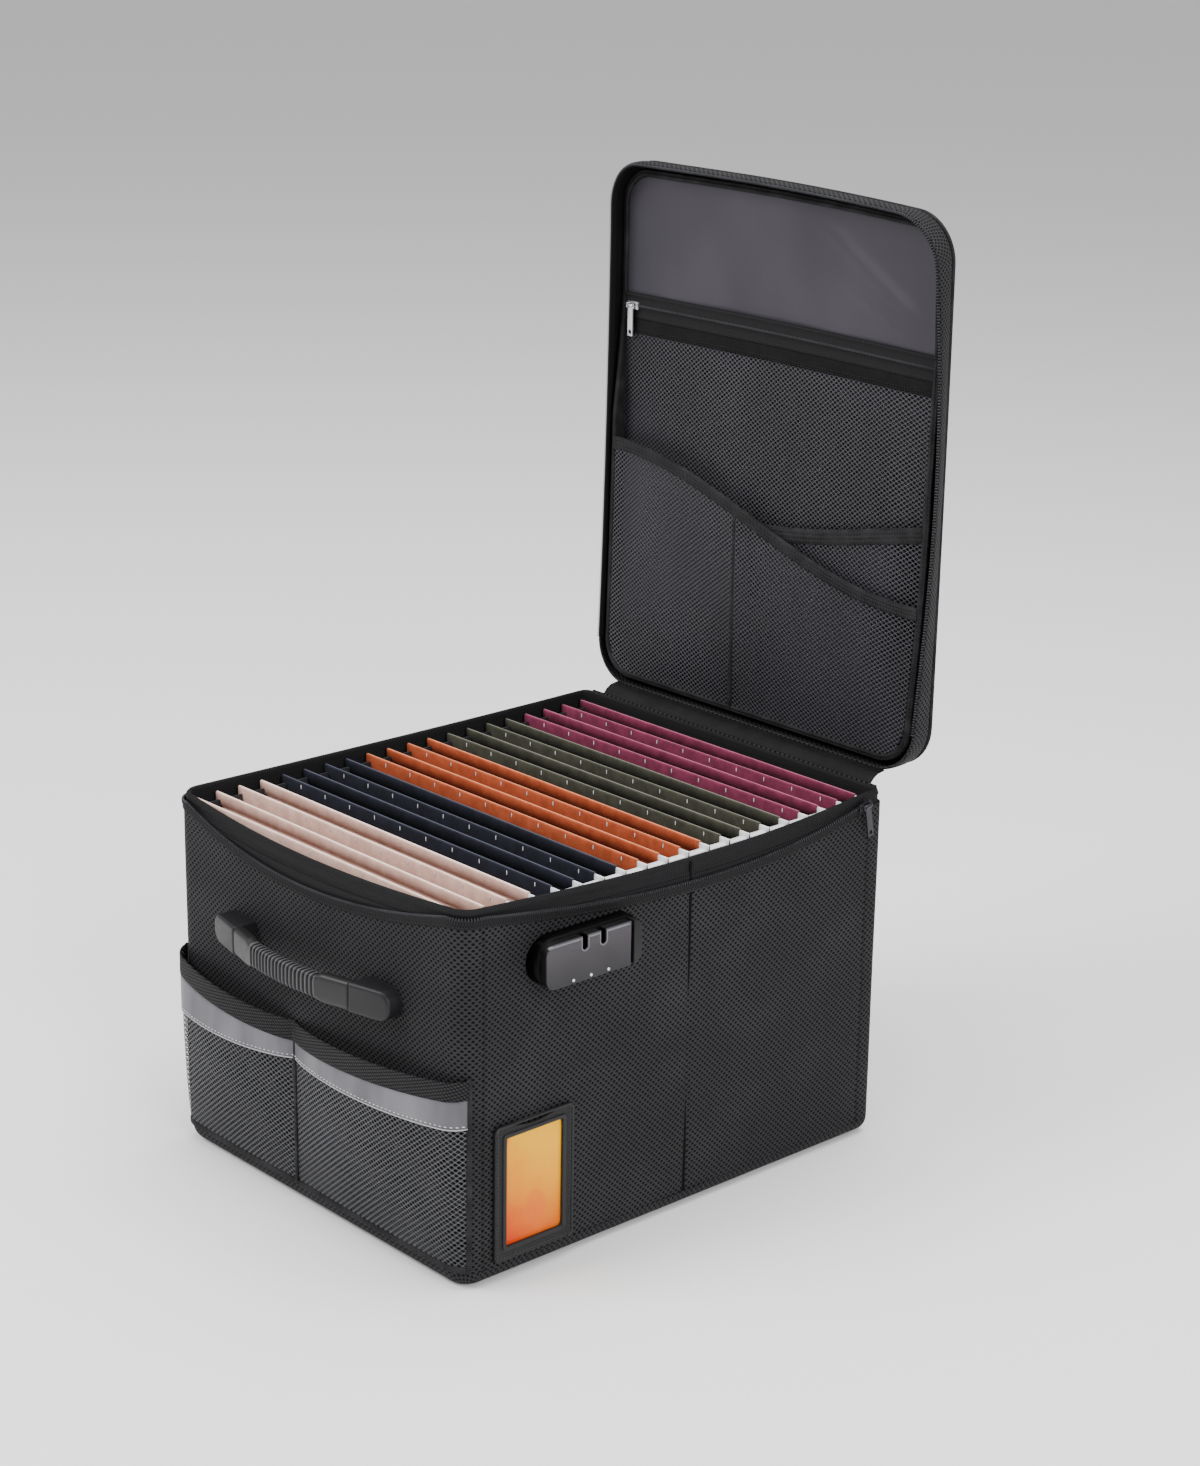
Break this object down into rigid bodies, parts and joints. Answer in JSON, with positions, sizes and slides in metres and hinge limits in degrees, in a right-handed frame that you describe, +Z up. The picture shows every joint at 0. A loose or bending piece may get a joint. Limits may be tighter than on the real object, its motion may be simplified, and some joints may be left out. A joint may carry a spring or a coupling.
{
  "type": "portable file box",
  "caption": "Soft-sided portable file box with a zipped tray lid, hanging folders on rails, mesh pockets, a combination lock, a label window and end handles.",
  "frame": {"origin": "centre of the bottom face, on the floor", "axes": "+Z up, -Y towards the front panel with the mesh pockets, +X towards the side panel with the lock; the lid stands open at rest"},
  "size_m": [0.3542, 0.4765, 0.698],
  "materials": {
    "woven_cover": "coarse matte weave",
    "stiff_board": "grey-brown fibreboard",
    "inner_lining": "plain woven lining",
    "lid_satin": "smooth satin lining",
    "webbing": "ribbed webbing",
    "zip_black": "herringbone tape with coil teeth",
    "gusset_cloth": "smooth cloth",
    "rail_metal": "light satin paint",
    "pocket_mesh": "open knitted mesh",
    "reflective": "silver-grey reflective tape",
    "cap_plastic": "satin moulded",
    "grip_rubber": "satin ribbed",
    "fixing_steel": "zinc plated",
    "lock_black": "moulded",
    "lock_grey": "glossy moulded",
    "dial_plastic": "moulded",
    "label_leather": "grained, stitched",
    "clear_film": "clear flexible film",
    "label_paper": "printed card",
    "slider_metal": "black enamel",
    "pull_silver": "polished nickel",
    "folder_pink": "coloured card",
    "folder_navy": "coloured card",
    "folder_orange": "coloured card",
    "folder_olive": "coloured card",
    "folder_burgundy": "coloured card"
  },
  "bodies": {
    "box": {"front_panel": "woven_cover", "back_panel": "woven_cover", "left_panel": "woven_cover", "right_panel": "woven_cover", "bottom_panel": "woven_cover", "end_boards": "stiff_board", "side_boards": "stiff_board", "bottom_board": "stiff_board", "lining": "inner_lining", "rim_band": "webbing", "body_zip": "zip_black", "hinge_gusset": "gusset_cloth", "rail_left": "rail_metal", "rail_right": "rail_metal", "front_pocket_mesh": "pocket_mesh", "front_pocket_webbing": "webbing", "reflective_strips": "reflective", "handle_caps": "cap_plastic", "handle_plates": "fixing_steel", "fixing_screws": "fixing_steel", "lock_base": "lock_black", "lock_cover": "lock_grey", "lock_plate": "fixing_steel", "lock_axle": "fixing_steel", "label_frame": "label_leather", "label_window": "clear_film"},
    "lid": {"lid_cover": "woven_cover", "lid_side_band": "woven_cover", "lid_board": "stiff_board", "lid_lining": "lid_satin", "lid_zip": "zip_black", "lid_welts": "webbing", "lid_pocket_zip": "zip_black", "lid_zip_mesh": "pocket_mesh", "lid_right_mesh": "pocket_mesh", "lid_front_mesh": "pocket_mesh"},
    "grip_front": {"front_grip": "grip_rubber"},
    "grip_rear": {"rear_grip": "grip_rubber"},
    "dial_1": {"lock_dial_1": "dial_plastic"},
    "dial_2": {"lock_dial_2": "dial_plastic"},
    "dial_3": {"lock_dial_3": "dial_plastic"},
    "button": {"lock_button": "lock_grey", "lock_latch": "fixing_steel"},
    "card": {"label_card": "label_paper"},
    "slider_left": {"zip_slider_left": "slider_metal"},
    "slider_right": {"zip_slider_right": "slider_metal"},
    "pull_left": {"zip_pull_left": "slider_metal"},
    "pull_right": {"zip_pull_right": "slider_metal"},
    "pocket_slider": {"lid_pocket_slider": "pull_silver"},
    "pocket_pull": {"lid_pocket_pull": "pull_silver"},
    "folder_01": {"folder_01": "folder_pink"},
    "folder_02": {"folder_02": "folder_pink"},
    "folder_03": {"folder_03": "folder_navy"},
    "folder_04": {"folder_04": "folder_navy"},
    "folder_05": {"folder_05": "folder_orange"},
    "folder_06": {"folder_06": "folder_orange"},
    "folder_07": {"folder_07": "folder_olive"},
    "folder_08": {"folder_08": "folder_olive"},
    "folder_09": {"folder_09": "folder_burgundy"},
    "folder_10": {"folder_10": "folder_burgundy"}
  },
  "joints": [
    {"name": "lid_hinge", "type": "hinge", "parent": "box", "child": "lid", "pos_m": [0, 0.212, 0.274], "axis": [-1, 0, 0], "range_deg": [-90, 0], "deforming": ["hinge_gusset"]},
    {"name": "front_grip_pull", "type": "slide", "parent": "box", "child": "grip_front", "axis": [0, -1, 0], "range_m": [0, 0.006], "stiffness_N_per_m": 1500},
    {"name": "rear_grip_pull", "type": "slide", "parent": "box", "child": "grip_rear", "axis": [0, 1, 0], "range_m": [0, 0.006], "stiffness_N_per_m": 1500},
    {"name": "dial_1_turn", "type": "hinge", "parent": "box", "child": "dial_1", "pos_m": [0.1743, -0.11925, 0.2145], "axis": [0, 1, 0], "continuous": true},
    {"name": "dial_2_turn", "type": "hinge", "parent": "box", "child": "dial_2", "pos_m": [0.1743, -0.1035, 0.2145], "axis": [0, 1, 0], "continuous": true},
    {"name": "dial_3_turn", "type": "hinge", "parent": "box", "child": "dial_3", "pos_m": [0.1743, -0.08775, 0.2145], "axis": [0, 1, 0], "continuous": true},
    {"name": "button_slide", "type": "slide", "parent": "box", "child": "button", "axis": [0, -1, 0], "range_m": [0, 0.0025], "stiffness_N_per_m": 300},
    {"name": "card_lift", "type": "slide", "parent": "box", "child": "card", "axis": [0, 0, 1], "range_m": [0, 0.09]},
    {"name": "zip_left_slide", "type": "slide", "parent": "box", "child": "slider_left", "axis": [0, -0.984, -0.1783], "range_m": [0, 0.05]},
    {"name": "zip_left_pull_swing", "type": "hinge", "parent": "slider_left", "child": "pull_left", "pos_m": [-0.1706, 0.176, 0.26778], "axis": [0, 0.984, 0.1783], "range_deg": [0, 150]},
    {"name": "zip_right_slide", "type": "slide", "parent": "box", "child": "slider_right", "axis": [0, -0.984, -0.1783], "range_m": [0, 0.05]},
    {"name": "zip_right_pull_swing", "type": "hinge", "parent": "slider_right", "child": "pull_right", "pos_m": [0.1706, 0.176, 0.26778], "axis": [0, -0.984, -0.1783], "range_deg": [0, 150]},
    {"name": "pocket_zip_slide", "type": "slide", "parent": "lid", "child": "pocket_slider", "axis": [1, 0, 0], "range_m": [0, 0.28]},
    {"name": "pocket_pull_swing", "type": "hinge", "parent": "pocket_slider", "child": "pocket_pull", "pos_m": [-0.147, 0.2257, 0.586], "axis": [-1, 0, 0], "range_deg": [0, 150]},
    {"name": "folder_01_lift", "type": "slide", "parent": "box", "child": "folder_01", "axis": [0, 0, 1], "range_m": [0, 0.25]},
    {"name": "folder_02_lift", "type": "slide", "parent": "box", "child": "folder_02", "axis": [0, 0, 1], "range_m": [0, 0.25]},
    {"name": "folder_03_lift", "type": "slide", "parent": "box", "child": "folder_03", "axis": [0, 0, 1], "range_m": [0, 0.25]},
    {"name": "folder_04_lift", "type": "slide", "parent": "box", "child": "folder_04", "axis": [0, 0, 1], "range_m": [0, 0.25]},
    {"name": "folder_05_lift", "type": "slide", "parent": "box", "child": "folder_05", "axis": [0, 0, 1], "range_m": [0, 0.25]},
    {"name": "folder_06_lift", "type": "slide", "parent": "box", "child": "folder_06", "axis": [0, 0, 1], "range_m": [0, 0.25]},
    {"name": "folder_07_lift", "type": "slide", "parent": "box", "child": "folder_07", "axis": [0, 0, 1], "range_m": [0, 0.25]},
    {"name": "folder_08_lift", "type": "slide", "parent": "box", "child": "folder_08", "axis": [0, 0, 1], "range_m": [0, 0.25]},
    {"name": "folder_09_lift", "type": "slide", "parent": "box", "child": "folder_09", "axis": [0, 0, 1], "range_m": [0, 0.25]},
    {"name": "folder_10_lift", "type": "slide", "parent": "box", "child": "folder_10", "axis": [0, 0, 1], "range_m": [0, 0.25]}
  ]
}
